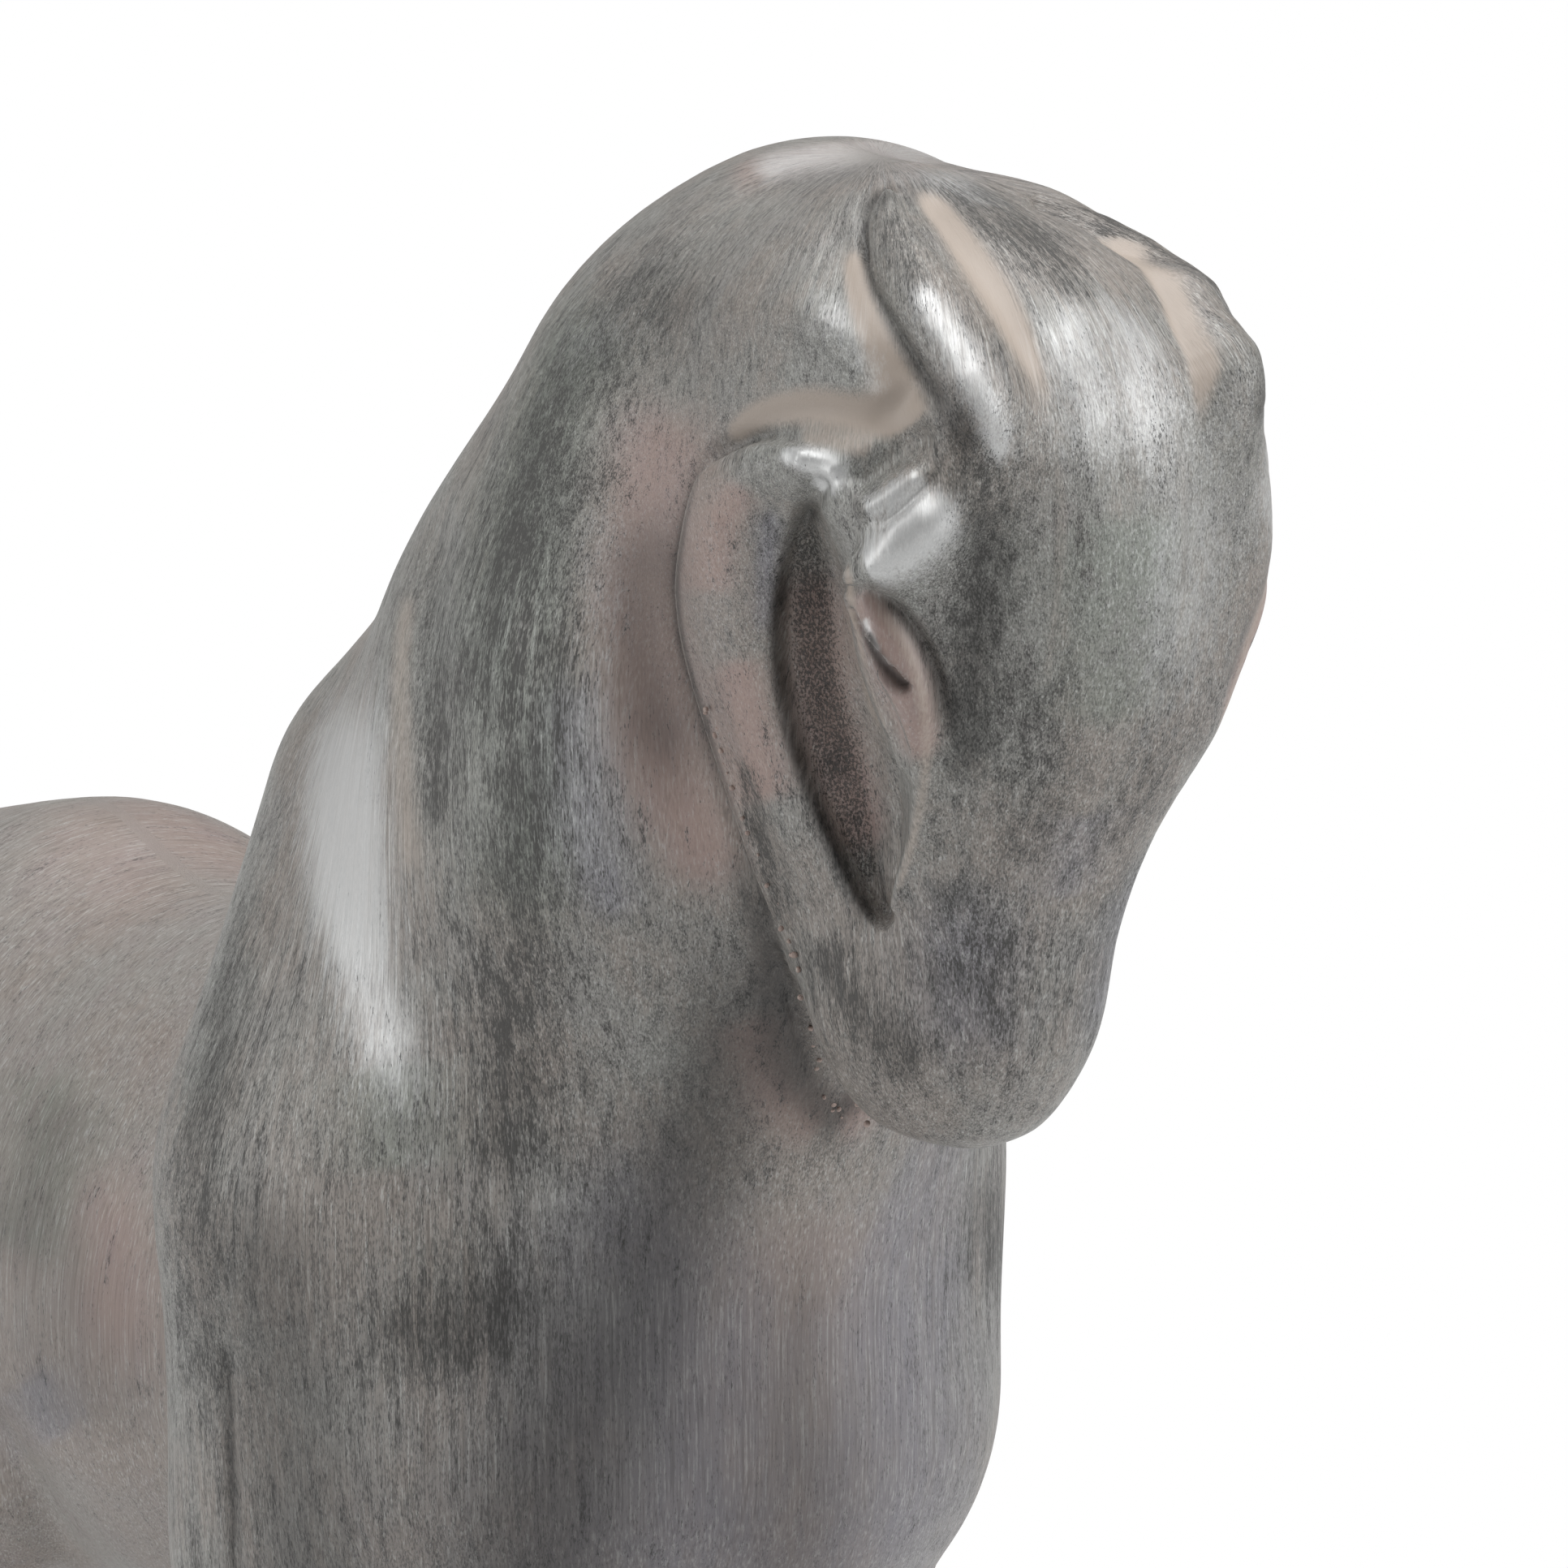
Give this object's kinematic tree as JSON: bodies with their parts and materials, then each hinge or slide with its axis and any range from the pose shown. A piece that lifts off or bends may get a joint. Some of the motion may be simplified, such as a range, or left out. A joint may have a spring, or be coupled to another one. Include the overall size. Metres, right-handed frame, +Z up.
{
  "type": "resin horse statue",
  "caption": "Standing horse figure with a thick arched neck and tucked chin, cast in resin and finished in distressed silver-grey paint, for display on a shelf or table.",
  "frame": {"origin": "on the ground, below the middle of the figure's length and width", "axes": "+X the way the horse faces, +Y to its left, +Z up"},
  "size_m": [0.3229, 0.1038, 0.3236],
  "materials": {
    "painted_resin": "distressed silver-grey paint over cast resin, satin with polished high spots",
    "steel": "plain round bar",
    "plug_rubber": "matt",
    "felt": "pressed felt"
  },
  "bodies": {
    "root": {"body_shell": "painted_resin", "head": "painted_resin", "tail": "painted_resin", "front_left_leg": "painted_resin", "front_right_leg": "painted_resin", "hind_left_leg": "painted_resin", "hind_right_leg": "painted_resin", "leg_rods": "steel", "head_pins": "steel", "tail_pin": "steel", "belly_plug": "plug_rubber", "front_left_pad": "felt", "front_right_pad": "felt", "hind_left_pad": "felt", "hind_right_pad": "felt"}
  },
  "joints": []
}
